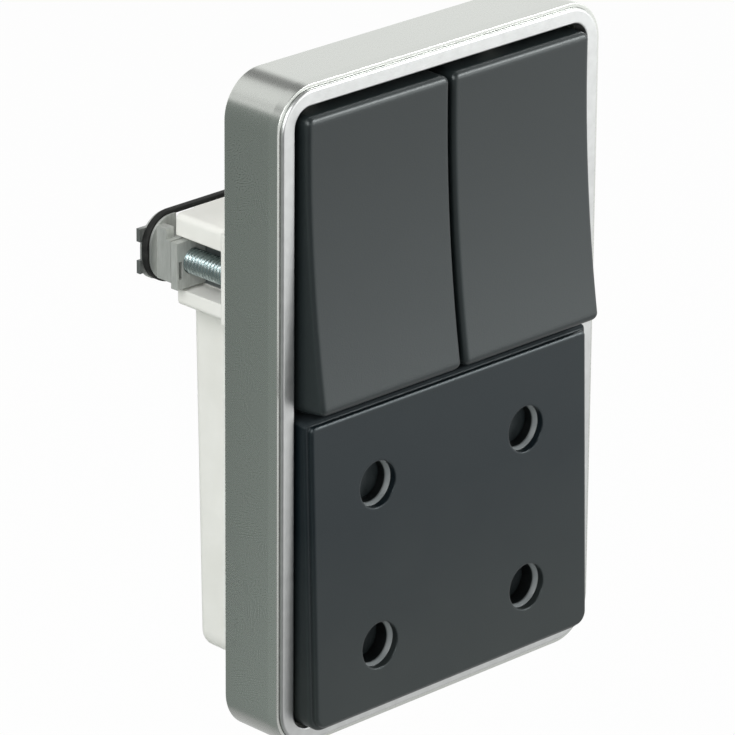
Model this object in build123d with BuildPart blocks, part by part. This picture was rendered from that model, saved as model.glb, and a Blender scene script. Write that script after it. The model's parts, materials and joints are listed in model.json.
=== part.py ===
from build123d import *

import os
from math import atan2, cos, degrees, radians, sin

# A flush wall unit: two rocker switches above a double two-pin socket, in a two-piece frame.
# X runs to the right, Y into the wall and Z up, and the wall surface is the plane y = 0.
# A height is measured from the wall towards the room, so height h lies at y = -h.

os.makedirs("parts", exist_ok=True)

# Clearances
fit = 0.1
run = 0.05
free = 0.3

# Frame shell and bezel ring
frame_width = 49.0
frame_height = 76.8
frame_depth = 8.3
frame_corner_r = 5.0
frame_wall = 1.4
frame_bevel_front = 0.12
frame_bevel_side = 1.0
rim_width = 0.42
groove_width = 0.12
bezel_width = 1.83
bezel_thickness = 1.5
bezel_outer_round = 0.6
bezel_inner_round = 0.2
opening_corner_r = 2.2
ledge_thickness = 1.2
ledge_setback = 0.3
seat_width = frame_width - 2 * rim_width
seat_height = frame_height - 2 * rim_width
seat_r = frame_corner_r - rim_width
opening_width = seat_width - 2 * (groove_width + bezel_width)
opening_height = seat_height - 2 * (groove_width + bezel_width)

# Base housing: flange behind the frame, box in the wall with a shelf above it, two wells for the inserts
flange_thickness = 2.0
flange_side = 5.0
flange_top_end = 4.3
flange_bottom_end = 3.2
box_depth = 12.4
box_rear_fall = 1.2
box_corner_r = 2.5
box_rear_r = 1.0
shelf_depth = 6.0
box_wall = 1.4
box_floor = 1.3
mid_wall = 1.2
box_screw_hole_r = 1.6
box_screw_side = 9.0
box_screw_end = 1.9
flange_width = frame_width - 2 * (frame_wall + fit)
flange_height = frame_height - 2 * (frame_wall + fit)
flange_r = frame_corner_r - frame_wall - fit
box_side = flange_width / 2 - flange_side
box_bottom = flange_bottom_end - flange_height / 2
shelf_top = flange_height / 2 - flange_top_end
well_side = box_side - box_wall
well_bottom = box_floor + box_rear_fall - box_depth
shelf_bottom = box_floor - shelf_depth
box_screw_spacing_x = flange_width - 2 * box_screw_side
box_screw_spacing_z = flange_height - 2 * box_screw_end

# Claw towers on the sides of the box, each with an open bay
tower_reach = 3.0
tower_top = 18.9
tower_bottom = 8.3
tower_rear_step = 1.05
tower_low_step = 0.25
tower_round = 0.7
tower_wall_depth = 3.6
tower_wall_step = 0.6
bay_top = 16.45
bay_bottom = 10.3
tower_depth = box_depth - tower_rear_step
tower_outer = box_side + tower_reach
tower_wall_outer = tower_outer + tower_wall_step

# Claw screws, nut plates, claws and the band that draws the claws in
screw_offset = 1.9
screw_z = 13.6
screw_r = 1.45
screw_tail = 1.0
screw_head_r = 2.4
screw_head_height = 0.9
screw_slot_width = 0.7
screw_slot_depth = 0.45
nut_reach = 4.3
nut_top = 16.1
nut_bottom = 10.7
nut_setback = 2.6
nut_thickness = 1.0
nut_slot_inset = 0.3
nut_slot_width = 0.46
nut_slot_height = 2.0
nut_slot_z = 12.9
claw_block_depth = 2.2
claw_block_inset = 0.05
claw_block_bottom = 11.3
claw_block_top = 17.35
claw_leg_top = 16.15
claw_brow = 3.05
claw_brow_setback = 0.7
claw_flange_thickness = 0.3
claw_flange_lip = 0.35
claw_saddle_depth = 1.0
claw_plate_thickness = 0.55
claw_plate_lip = 0.3
claw_reach = 4.75
claw_root = 1.4
claw_top = 17.75
claw_bottom = 10.9
claw_round = 3.0
claw_plate_top_round = 3.5
claw_plate_low_round = 2.0
claw_fork_gap = 0.4
claw_fork_reach = 3.7
tooth_reach = 0.52
tooth_height = 1.5
tooth_gap = 2.2
tooth_low = 11.67
band_thickness = 0.55
band_width = 0.9
band_gap = 0.15
band_setback = 0.05
screw_end = box_depth + screw_tail
screw_x = box_side + screw_offset
nut_front = box_depth - nut_setback
nut_outer = box_side + nut_reach
nut_inner = box_side + fit
claw_front = nut_front + nut_thickness + fit
claw_brow_front = claw_front + claw_brow_setback
claw_flange_front = claw_front + claw_block_depth
claw_saddle_front = claw_flange_front + claw_flange_thickness
claw_plate_front = claw_saddle_front + claw_saddle_depth
claw_rear = claw_plate_front + claw_plate_thickness
claw_outer = box_side + claw_reach
claw_inner = box_side + claw_root
claw_block_outer = nut_outer - claw_block_inset
claw_leg_inner = box_side + fit
claw_brow_inner = box_side + claw_brow
claw_fork_end = box_side + claw_fork_reach
tooth_tip = claw_outer + claw_plate_lip + tooth_reach
band_front = claw_saddle_front + band_setback

# Rockers: two equal rockers above the cover, each thrown half a stroke up or down
cover_top = 0.15
rocker_gap = 0.6
rocker_side_room = 0.88
rocker_low_room = 1.25
rocker_high_room = 1.23
rocker_flare = 0.4
rocker_dish_r = 191.0
rocker_middle_proud = 1.68
rocker_skirt_rear = 1.2
rocker_wall = 1.3
rocker_corner_r = 0.9
rocker_edge_r = 0.6
rocker_rib = 1.0
rocker_rib_depth = 1.5
rocker_half_throw = 4.3
pivot_height = 4.8
rocker_reach = opening_width / 2 - rocker_side_room
rocker_width = rocker_reach - rocker_gap / 2
rocker_x = rocker_reach - rocker_width / 2
rocker_length = opening_height / 2 - cover_top - rocker_low_room - rocker_high_room
pivot_z = cover_top + rocker_low_room + rocker_length / 2
rocker_mid_v = frame_depth + rocker_middle_proud - pivot_height
rocker_sag = rocker_dish_r - (rocker_dish_r**2 - (rocker_length / 2) ** 2) ** 0.5
rocker_end_v = rocker_mid_v + rocker_sag
rocker_roof_v = rocker_mid_v - rocker_wall

# Toggle, plunger and contact seesaw of each switch
pivot_r = 1.0
toggle_barrel_r = 1.3
toggle_plate_width = 11.0
toggle_plate_length = 18.0
toggle_plate_thickness = 1.2
toggle_web_width = 8.0
toggle_web_length = 3.0
stem_r = 2.0
stem_end = 4.0
stem_bore_top = 1.2
plunger_r = 1.1
plunger_tip = 5.2
plunger_length = 2.8
plunger_tip_bevel = 0.7
spring_wire = 0.24
plunger_spring_r = 0.7
plunger_spring_pitch = 0.9
lug_thickness = 1.4
lug_foot = 6.6
lug_head_r = 2.2
lug_inset = 2.725
lever_pivot_height = -1.45
lever_half_throw = 8.0
lever_length = 11.0
lever_width = 4.0
lever_thickness = 0.8
contact_bevel = 0.3
lug_offset = rocker_width / 2 - lug_inset

# Inserts, contacts and terminals
block_rim_thickness = 1.2
block_rim_side = 1.4
block_rim_inset = 0.6
pocket_half_width = 3.5
pocket_low = 13.7
pocket_high = 7.5
pocket_web = 0.8
bar_thickness = 0.6
bar_half_width = 1.9
bar_channel_gap = 0.3
common_bar_end = 3.225
post_width = 2.0
post_thickness = 0.8
contact_arm = 4.95
contact_post_width = 2.2
contact_strip_end = 13.4
cage_width = 6.6
cage_depth = 3.8
cage_height = 5.0
cage_wall = 0.6
common_neck_half = 1.5
terminal_arm = 11.3
wire_hole_r = 1.5
wire_pitch = 3.4
leaf_thickness = 0.3
leaf_rise = 1.6
block_rim_half_width = box_side + block_rim_side
block_rim_top = shelf_top - block_rim_inset
block_rim_bottom = box_bottom + block_rim_inset
pocket_floor = shelf_bottom + pocket_web
common_bar_half = rocker_x + common_bar_end
contact_z = pivot_z - contact_arm
terminal_z = pivot_z - terminal_arm

# Socket cover
cover_side_room = 0.43
cover_end_room = 0.23
cover_top_proud = 1.95
cover_bottom_proud = 3.0
cover_step = 0.5
cover_step_height = 0.6
cover_rear = 4.6
cover_wall = 1.2
cover_top_corner_r = 0.6
cover_bottom_corner_r = 2.0
cover_edge_r = 0.35
cover_hole_r = 2.7
cover_lip = 0.8
skirt_half_width = opening_width / 2 - cover_side_room
cover_half_width = skirt_half_width - cover_step
cover_bottom = cover_end_room + cover_step - opening_height / 2

# Socket: pin guide, shutters and contact bars
pin_spacing = 19.0
outlet_inset = 9.7
collar_bore_r = 2.45
collar_outer_r = 3.5
collar_mouth = 0.25
collar_mouth_depth = 0.6
socket_block_top = 6.6
guide_under = 8.0
socket_bar_end = 0.75
socket_pocket_floor = -8.7
clip_bore_r = 2.15
clip_wall = 0.6
clip_top = 0.5
clip_slit = 0.8
chamber_gap = 0.35
chamber_margin = 1.23
shutter_margin = 0.6
shutter_gap = 0.15
shutter_spring_r = 0.4
shutter_spring_pitch = 1.7
guide_rib = 1.0
guide_end_wall = 0.65
guide_top = guide_under + block_rim_thickness
cover_back = guide_top + fit
outlet_x = cover_half_width - outlet_inset
outlet_spacing = 2 * outlet_x
clip_r = clip_bore_r + clip_wall
chamber_r = clip_r + chamber_gap
socket_bar_half = outlet_x + clip_r + socket_bar_end
socket_z = box_bottom + box_wall + chamber_margin + chamber_r + pin_spacing / 2
pin_z = (socket_z + pin_spacing / 2, socket_z - pin_spacing / 2)


def collar_seat(z):
    """The height of the seat behind the cover's slanted front for a collar at this place."""
    share = (cover_top - z) / (cover_top - cover_bottom)
    slant = cover_bottom_proud - cover_top_proud
    return frame_depth + cover_top_proud + share * slant - cover_lip


def at(height):
    """A plane parallel to the wall, facing the room."""
    return Plane.XZ.offset(height)


def span(low, high):
    """The middle and the length of a stretch."""
    return (low + high) / 2, abs(high - low)


def block(x_low, x_high, z_low, z_high):
    """A rectangle between two places across and two places up, on the current sketch."""
    x_mid, width = span(x_low, x_high)
    z_mid, height = span(z_low, z_high)
    with Locations((x_mid, z_mid)):
        Rectangle(width, height)


def wire_pairs(terminals):
    """The places of the two wire holes of each terminal."""
    return [(x + s * wire_pitch / 2, z) for x, z in terminals for s in (-1, 1)]


def save(piece, name):
    """Label a finished piece and write it to its own file."""
    piece.part.label = name
    export_step(piece.part, f"parts/{name}.step")


def rocker_face(x):
    """The plane of a thrown rocker through its pivot, facing its front."""
    tilt = radians(rocker_half_throw)
    return Plane((x, -pivot_height, pivot_z), x_dir=(1, 0, 0), z_dir=(0, -cos(tilt), sin(tilt)))


def rocker_section(x):
    """The plane across a thrown rocker: along it first, then out of its front."""
    tilt = radians(rocker_half_throw)
    return Plane((x, -pivot_height, pivot_z), x_dir=(0, sin(tilt), cos(tilt)), z_dir=(1, 0, 0))


def lever_section(x):
    """The plane across a contact seesaw, which lies tilted the other way."""
    tilt = radians(lever_half_throw)
    origin = (x, -lever_pivot_height, pivot_z)
    return Plane(origin, x_dir=(0, -sin(tilt), cos(tilt)), z_dir=(1, 0, 0))


# Frame shell: a tray with a wide window and a step that takes the bezel
with BuildPart() as frame_shell:
    with BuildSketch(Plane.XZ):
        RectangleRounded(frame_width, frame_height, frame_corner_r)
    extrude(amount=frame_depth)
    front = frame_shell.faces().sort_by(Axis.Y)[0]
    chamfer(front.edges(), length=frame_bevel_front, length2=frame_bevel_side, reference=front)
    with BuildSketch(at(frame_depth)):
        RectangleRounded(seat_width, seat_height, seat_r)
    extrude(amount=-bezel_thickness, mode=Mode.SUBTRACT)
    with BuildSketch(Plane.XZ):
        RectangleRounded(
            opening_width + 2 * ledge_setback,
            opening_height + 2 * ledge_setback,
            opening_corner_r + ledge_setback,
        )
    extrude(amount=frame_depth, mode=Mode.SUBTRACT)
    with BuildSketch(Plane.XZ):
        RectangleRounded(
            frame_width - 2 * frame_wall, frame_height - 2 * frame_wall, frame_corner_r - frame_wall
        )
    extrude(amount=frame_depth - bezel_thickness - ledge_thickness, mode=Mode.SUBTRACT)
save(frame_shell, "frame_shell")

# Bezel ring: lies in the step, with a fine groove left round it
with BuildPart() as bezel_ring:
    with BuildSketch(at(frame_depth - bezel_thickness)):
        RectangleRounded(
            seat_width - 2 * groove_width, seat_height - 2 * groove_width, seat_r - groove_width
        )
        RectangleRounded(opening_width, opening_height, opening_corner_r, mode=Mode.SUBTRACT)
    extrude(amount=bezel_thickness)
    fillet(bezel_ring.faces().sort_by(Axis.Y)[0].outer_wire().edges(), bezel_outer_round)
    fillet(bezel_ring.faces().sort_by(Axis.Y)[0].inner_wires()[0].edges(), bezel_inner_round)
save(bezel_ring, "bezel_ring")

# Base housing: one moulding
socket_terminals = [(0, z) for z in pin_z]
switch_terminals = [(x, terminal_z) for x in (0, -rocker_x, rocker_x)]
with BuildPart() as base_housing:
    with BuildSketch(Plane.XZ):
        RectangleRounded(flange_width, flange_height, flange_r)
    extrude(amount=flange_thickness)
    with BuildSketch(Plane.XZ):
        block(-box_side, box_side, box_bottom, shelf_top)
        fillet(vertices(), box_corner_r)
    extrude(amount=-shelf_depth)
    with BuildSketch(Plane.XZ):
        block(-box_side, box_side, box_bottom, tower_top)
        fillet(vertices().group_by(Axis.Y)[0], box_corner_r)
    extrude(amount=-box_depth)
    with BuildSketch(Plane.YZ):
        with BuildLine():
            Polyline(
                (box_depth, tower_top),
                (box_depth, box_bottom),
                (box_depth - box_rear_fall, box_bottom),
                close=True,
            )
        make_face()
    extrude(amount=box_side, both=True, mode=Mode.SUBTRACT)
    fillet(base_housing.faces().sort_by(Axis.Y)[-1].edges(), box_rear_r)
    for side in (-1, 1):
        wall_x = side * (box_side - box_wall / 2)
        with BuildSketch(Plane.XZ):
            block(wall_x, side * tower_outer, tower_bottom, tower_top)
        extrude(amount=-tower_depth)
        with BuildSketch(Plane.XZ):
            block(wall_x, side * tower_wall_outer, tower_bottom, tower_top)
        extrude(amount=-tower_wall_depth)
    outer_edges = base_housing.edges().filter_by(Axis.Y).filter_by(
        lambda e: abs(abs(e.center().X) - tower_outer) < run
    )
    fillet(outer_edges, tower_round)
    for side in (-1, 1):
        with BuildSketch(at(-tower_wall_depth)):
            block(side * box_side, side * (tower_wall_outer + free), bay_bottom, bay_top)
        extrude(amount=-tower_depth, mode=Mode.SUBTRACT)
        with BuildSketch(at(-tower_depth)):
            block(side * box_side, side * (tower_wall_outer + free), tower_bottom - free, bay_top)
        extrude(amount=tower_low_step, mode=Mode.SUBTRACT)
        with BuildSketch(at(flange_thickness)):
            with Locations((side * screw_x, screw_z)):
                Circle(screw_r + run)
        extrude(amount=-flange_thickness - tower_wall_depth, mode=Mode.SUBTRACT)
    with BuildSketch(at(flange_thickness)):
        block(-well_side, well_side, mid_wall / 2, tower_top - box_wall)
        block(-well_side, well_side, box_bottom + box_wall, -mid_wall / 2)
    extrude(amount=well_bottom - flange_thickness, mode=Mode.SUBTRACT)
    with BuildSketch(at(flange_thickness)):
        block(-well_side, well_side, mid_wall / 2, shelf_top - box_wall)
    extrude(amount=shelf_bottom - flange_thickness, mode=Mode.SUBTRACT)
    with BuildSketch(at(flange_thickness)):
        with GridLocations(box_screw_spacing_x, box_screw_spacing_z, 2, 2):
            Circle(box_screw_hole_r)
    extrude(amount=-flange_thickness, mode=Mode.SUBTRACT)
    with BuildSketch(at(well_bottom)):
        with Locations(*wire_pairs(socket_terminals + switch_terminals)):
            Circle(wire_hole_r)
    extrude(amount=-box_floor - box_rear_fall, mode=Mode.SUBTRACT)
save(base_housing, "base_housing")

# Claw screws, nut plates and claws, a set on each side
for side, name in ((-1, "left"), (1, "right")):
    with BuildPart() as claw_screw:
        with BuildSketch(at(flange_thickness)):
            with Locations((side * screw_x, screw_z)):
                Circle(screw_head_r)
        extrude(amount=screw_head_height)
        with BuildSketch(at(flange_thickness + screw_head_height)):
            with Locations((side * screw_x, screw_z)):
                Rectangle(2 * screw_head_r, screw_slot_width)
        extrude(amount=-screw_slot_depth, mode=Mode.SUBTRACT)
        with BuildSketch(at(flange_thickness)):
            with Locations((side * screw_x, screw_z)):
                Circle(screw_r)
        extrude(amount=-flange_thickness - screw_end)
    save(claw_screw, f"claw_screw_{name}")

    with BuildPart() as claw_nut:
        with BuildSketch(at(-nut_front)):
            block(side * nut_inner, side * nut_outer, nut_bottom, nut_top)
            with Locations((side * screw_x, screw_z)):
                Circle(screw_r + run, mode=Mode.SUBTRACT)
            slot_x = nut_outer - nut_slot_inset - nut_slot_width / 2
            with Locations((side * slot_x, nut_slot_z)):
                Rectangle(nut_slot_width, nut_slot_height, mode=Mode.SUBTRACT)
        extrude(amount=-nut_thickness)
    save(claw_nut, f"claw_nut_{name}")

    with BuildPart() as claw:
        with BuildSketch(at(-claw_front)):
            block(side * claw_leg_inner, side * claw_block_outer, claw_block_bottom, claw_leg_top)
        extrude(amount=-claw_block_depth)
        with BuildSketch(at(-claw_brow_front)):
            block(side * claw_brow_inner, side * claw_block_outer, claw_block_bottom, claw_block_top)
        extrude(amount=claw_brow_front - claw_flange_front)
        tip = 0 if side < 0 else -1
        for front, rear, lip, low_round, top_round in (
            (claw_flange_front, claw_saddle_front, claw_flange_lip, claw_round, claw_round),
            (claw_saddle_front, claw_plate_front, 0, claw_round, claw_round),
            (claw_plate_front, claw_rear, claw_plate_lip, claw_plate_low_round, claw_plate_top_round),
        ):
            with BuildSketch(at(-front)):
                block(side * claw_inner, side * (claw_outer + lip), claw_bottom - lip, claw_top + lip)
                fillet(vertices().group_by(Axis.X)[tip].sort_by(Axis.Y)[0], low_round)
                fillet(vertices().group_by(Axis.X)[tip].sort_by(Axis.Y)[-1], top_round)
            extrude(amount=front - rear)
        with BuildSketch(at(-claw_plate_front)):
            for low in (tooth_low, tooth_low + tooth_height + tooth_gap):
                block(side * claw_inner, side * tooth_tip, low, low + tooth_height)
        extrude(amount=-claw_plate_thickness)
        with BuildSketch(at(-claw_front)):
            reach = screw_r + claw_fork_gap
            block(side * (claw_leg_inner - free), side * claw_fork_end, screw_z - reach, screw_z + reach)
        extrude(amount=claw_front - claw_rear, mode=Mode.SUBTRACT)
    save(claw, f"claw_{name}")

# Rubber band: one loop round the saddles of both claws
with BuildPart() as rubber_band:
    with BuildSketch(at(-band_front)):
        hold = claw_outer + band_gap
        middle, height = span(claw_bottom - band_gap, claw_top + band_gap)
        with Locations((0, middle)):
            inner_r = claw_round + band_gap
            RectangleRounded(
                2 * (hold + band_thickness), height + 2 * band_thickness, inner_r + band_thickness
            )
            RectangleRounded(2 * hold, height, inner_r, mode=Mode.SUBTRACT)
    extrude(amount=-band_width)
save(rubber_band, "rubber_band")

# Rockers, toggles, plungers and seesaws, a set for each switch
for side, name in ((-1, "left"), (1, "right")):
    x = side * rocker_x
    front_half = rocker_length / 2
    rear_half = front_half + rocker_flare
    with BuildPart() as rocker:
        with BuildSketch(rocker_section(x)):
            with BuildLine():
                ThreePointArc((-front_half, rocker_end_v), (0, rocker_mid_v), (front_half, rocker_end_v))
                Polyline(
                    (front_half, rocker_end_v),
                    (rear_half, rocker_skirt_rear),
                    (-rear_half, rocker_skirt_rear),
                    (-front_half, rocker_end_v),
                )
            make_face()
        extrude(amount=rocker_width / 2, both=True)
        ends = rocker.faces().sort_by(Axis.Z)
        fillet((ends[0].edges() + ends[-1].edges()).filter_by(Axis.X, reverse=True), rocker_corner_r)
        fillet(rocker.faces().sort_by(Axis.Y)[0].edges(), rocker_edge_r)
        with BuildSketch(rocker_face(x).offset(rocker_skirt_rear)):
            Rectangle(rocker_width - 2 * rocker_wall, 2 * (rear_half - rocker_wall))
        extrude(amount=rocker_roof_v - rocker_skirt_rear, mode=Mode.SUBTRACT)
        with BuildSketch(rocker_face(x).offset(rocker_roof_v)):
            with GridLocations(0, toggle_plate_length + 2 * fit + rocker_rib, 1, 2):
                Rectangle(toggle_plate_width, rocker_rib)
        extrude(amount=-rocker_rib_depth)
    save(rocker, f"rocker_{name}")

    with BuildPart() as toggle:
        barrel_half = lug_offset - lug_thickness / 2 - fit
        with BuildSketch(rocker_section(x)):
            Circle(toggle_barrel_r)
        extrude(amount=barrel_half, both=True)
        with BuildSketch(rocker_section(x)):
            Circle(pivot_r)
        extrude(amount=lug_offset + lug_thickness / 2, both=True)
        with BuildSketch(rocker_face(x)):
            Rectangle(toggle_web_width, toggle_web_length)
        extrude(amount=rocker_roof_v - toggle_plate_thickness)
        with BuildSketch(rocker_face(x).offset(rocker_roof_v)):
            Rectangle(toggle_plate_width, toggle_plate_length)
        extrude(amount=-toggle_plate_thickness)
        with BuildSketch(rocker_face(x)):
            Circle(stem_r)
        extrude(amount=-stem_end)
        with BuildSketch(rocker_face(x).offset(-stem_end)):
            Circle(plunger_r + run)
        extrude(amount=stem_end + stem_bore_top, mode=Mode.SUBTRACT)
    save(toggle, f"toggle_{name}")

    with BuildPart() as plunger:
        with BuildSketch(rocker_face(x).offset(-plunger_tip)):
            Circle(plunger_r)
        extrude(amount=plunger_length)
        tip = plunger.faces().sort_by(Axis.Y)[-1]
        chamfer(tip.edges(), plunger_tip_bevel)
    save(plunger, f"plunger_{name}")

    with BuildPart() as plunger_spring:
        seat = rocker_face(x).offset(plunger_length - plunger_tip + spring_wire / 2)
        length = stem_bore_top + plunger_tip - plunger_length - spring_wire
        with BuildLine():
            coil = Helix(plunger_spring_pitch, length, plunger_spring_r, seat.origin, seat.z_dir)
        with BuildSketch(Plane(coil @ 0, x_dir=seat.z_dir, z_dir=coil % 0)):
            Rectangle(spring_wire, spring_wire)
        sweep(path=coil, is_frenet=True)
    save(plunger_spring, f"plunger_spring_{name}")

    with BuildPart() as contact_lever:
        with BuildSketch(lever_section(x)):
            with Locations((0, lever_thickness / 2)):
                Rectangle(lever_length, lever_thickness)
        extrude(amount=lever_width / 2, both=True)
    save(contact_lever, f"contact_lever_{name}")

    with BuildPart() as switch_contact:
        with BuildSketch(at(pocket_floor)):
            block(
                x - pocket_half_width + fit,
                x + pocket_half_width - fit,
                pivot_z - contact_strip_end,
                contact_z + contact_post_width / 2,
            )
            with Locations(*wire_pairs([(x, terminal_z)])):
                Circle(wire_hole_r, mode=Mode.SUBTRACT)
        extrude(amount=bar_thickness)
        swing = radians(lever_half_throw)
        contact_top = lever_pivot_height - contact_arm * sin(swing) / cos(swing) - free
        with BuildSketch(at(pocket_floor + bar_thickness)):
            with Locations((x, contact_z)):
                Rectangle(lever_width, contact_post_width)
        extrude(amount=contact_top - pocket_floor - bar_thickness)
        chamfer(switch_contact.faces().sort_by(Axis.Y)[0].edges().filter_by(Axis.X), contact_bevel)
    save(switch_contact, f"switch_contact_{name}")

# Common bar: feeds both switches, and each seesaw rocks on one of its posts
with BuildPart() as common_bar:
    with BuildSketch(at(pocket_floor)):
        with Locations((0, pivot_z)):
            Rectangle(2 * common_bar_half, 2 * bar_half_width)
        block(-common_neck_half, common_neck_half, terminal_z, pivot_z)
        with Locations((0, terminal_z)):
            Rectangle(cage_width, cage_depth)
        with Locations(*wire_pairs([(0, terminal_z)])):
            Circle(wire_hole_r, mode=Mode.SUBTRACT)
    extrude(amount=bar_thickness)
    with BuildSketch(at(pocket_floor + bar_thickness)):
        with Locations((-rocker_x, pivot_z), (rocker_x, pivot_z)):
            Rectangle(post_width, post_thickness)
    extrude(amount=lever_pivot_height - fit - pocket_floor - bar_thickness)
save(common_bar, "common_bar")

# Switch block: fills the upper well, and its rim on the flange carries the bearing lugs
with BuildPart() as switch_block:
    with BuildSketch(at(well_bottom)):
        block(fit - well_side, well_side - fit, mid_wall / 2 + fit, tower_top - box_wall - fit)
    extrude(amount=flange_thickness - well_bottom)
    with BuildSketch(at(shelf_bottom)):
        block(fit - well_side, well_side - fit, mid_wall / 2 + fit, shelf_top - box_wall - fit)
    extrude(amount=flange_thickness - shelf_bottom)
    with BuildSketch(at(flange_thickness)):
        block(-block_rim_half_width, block_rim_half_width, mid_wall, block_rim_top)
        with Locations((-screw_x, screw_z), (screw_x, screw_z)):
            Circle(screw_head_r + free, mode=Mode.SUBTRACT)
    extrude(amount=block_rim_thickness)
    rim_top = flange_thickness + block_rim_thickness
    for x in (-rocker_x, rocker_x):
        for offset in (-lug_offset, lug_offset):
            with BuildSketch(Plane.YZ.offset(x + offset)):
                with Locations((-(rim_top + pivot_height) / 2, pivot_z)):
                    Rectangle(pivot_height - rim_top, lug_foot)
                with Locations((-pivot_height, pivot_z)):
                    Circle(lug_head_r)
            extrude(amount=lug_thickness / 2, both=True)
            with BuildSketch(Plane.YZ.offset(x + offset)):
                with Locations((-pivot_height, pivot_z)):
                    Circle(pivot_r + run)
            extrude(amount=lug_thickness, both=True, mode=Mode.SUBTRACT)
        with BuildSketch(at(rim_top)):
            block(x - pocket_half_width, x + pocket_half_width, pivot_z - pocket_low, pivot_z + pocket_high)
        extrude(amount=pocket_floor - rim_top, mode=Mode.SUBTRACT)
    with BuildSketch(at(rim_top)):
        with Locations((0, pivot_z)):
            Rectangle(2 * (common_bar_half + bar_channel_gap), 2 * (bar_half_width + bar_channel_gap))
        neck_side = common_neck_half + bar_channel_gap
        block(-neck_side, neck_side, terminal_z, pivot_z)
        with Locations((0, terminal_z)):
            Rectangle(cage_width + 2 * bar_channel_gap, cage_depth + 2 * bar_channel_gap)
    extrude(amount=pocket_floor - rim_top, mode=Mode.SUBTRACT)
    with BuildSketch(at(pocket_floor)):
        with Locations(*wire_pairs(switch_terminals)):
            Circle(wire_hole_r)
    extrude(amount=well_bottom - pocket_floor, mode=Mode.SUBTRACT)
save(switch_block, "switch_block")

# Socket block: fills the lower well and stands up into the guide, with a chamber for each pin clip
with BuildPart() as socket_block:
    with BuildSketch(at(well_bottom)):
        block(fit - well_side, well_side - fit, box_bottom + box_wall + fit, -mid_wall / 2 - fit)
    extrude(amount=flange_thickness - well_bottom)
    with BuildSketch(at(flange_thickness)):
        tray_top = -mid_wall - guide_end_wall - fit
        block(fit - well_side, well_side - fit, box_bottom + box_wall + fit, tray_top)
    extrude(amount=socket_block_top - flange_thickness)
    with BuildSketch(at(socket_block_top)):
        for z in pin_z:
            with Locations((0, z)):
                Rectangle(2 * (socket_bar_half + bar_channel_gap), 2 * (bar_half_width + bar_channel_gap))
                with GridLocations(outlet_spacing, 0, 2, 1):
                    Circle(chamber_r)
    extrude(amount=socket_pocket_floor - socket_block_top, mode=Mode.SUBTRACT)
    with BuildSketch(at(socket_pocket_floor)):
        with Locations(*wire_pairs(socket_terminals)):
            Circle(wire_hole_r)
    extrude(amount=well_bottom - socket_pocket_floor, mode=Mode.SUBTRACT)
save(socket_block, "socket_block")

# Line and neutral bars: a strip with a split pin clip for each outlet
for z, name in ((pin_z[0], "line_bar"), (pin_z[1], "neutral_bar")):
    with BuildPart() as contact_bar:
        with BuildSketch(at(socket_pocket_floor)):
            with Locations((0, z)):
                Rectangle(2 * socket_bar_half, 2 * bar_half_width)
                with GridLocations(wire_pitch, 0, 2, 1):
                    Circle(wire_hole_r, mode=Mode.SUBTRACT)
        extrude(amount=bar_thickness)
        with BuildSketch(at(socket_pocket_floor)):
            with Locations((0, z)):
                with GridLocations(outlet_spacing, 0, 2, 1):
                    Circle(clip_r)
        extrude(amount=clip_top - socket_pocket_floor)
        with BuildSketch(at(clip_top)):
            with Locations((0, z)):
                with GridLocations(outlet_spacing, 0, 2, 1):
                    Circle(clip_bore_r)
                    Rectangle(2 * clip_r, clip_slit)
        extrude(amount=socket_pocket_floor + bar_thickness - clip_top, mode=Mode.SUBTRACT)
    save(contact_bar, name)

# Terminals: five cages on their bars, each with a leaf spring that grips the wires
cages = [(x, z, socket_pocket_floor + bar_thickness) for x, z in socket_terminals]
cages += [(x, z, pocket_floor + bar_thickness) for x, z in switch_terminals]
with BuildPart() as terminal_cages:
    for x, z, floor in cages:
        with BuildSketch(at(floor)):
            with Locations((x, z)):
                Rectangle(cage_width, cage_depth)
        extrude(amount=cage_height)
        with BuildSketch(at(floor)):
            with Locations((x, z)):
                Rectangle(cage_width - 2 * cage_wall, cage_depth - 2 * cage_wall)
        extrude(amount=cage_height - cage_wall, mode=Mode.SUBTRACT)
save(terminal_cages, "terminal_cages")

with BuildPart() as terminal_springs:
    for x, z, floor in cages:
        roof = floor + cage_height - cage_wall
        inside = cage_depth / 2 - cage_wall - fit
        with BuildSketch(Plane.YZ.offset(x)):
            with BuildLine():
                Polyline(
                    (-roof, z - inside),
                    (-roof, z + inside),
                    (-roof + leaf_rise, z + inside / 2),
                    (-roof + leaf_rise, z + inside / 2 - leaf_thickness),
                    (-roof + leaf_thickness, z + inside - 2 * leaf_thickness),
                    (-roof + leaf_thickness, z - inside),
                    close=True,
                )
            make_face()
        extrude(amount=cage_width / 2 - cage_wall - fit, both=True)
save(terminal_springs, "terminal_springs")

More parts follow.
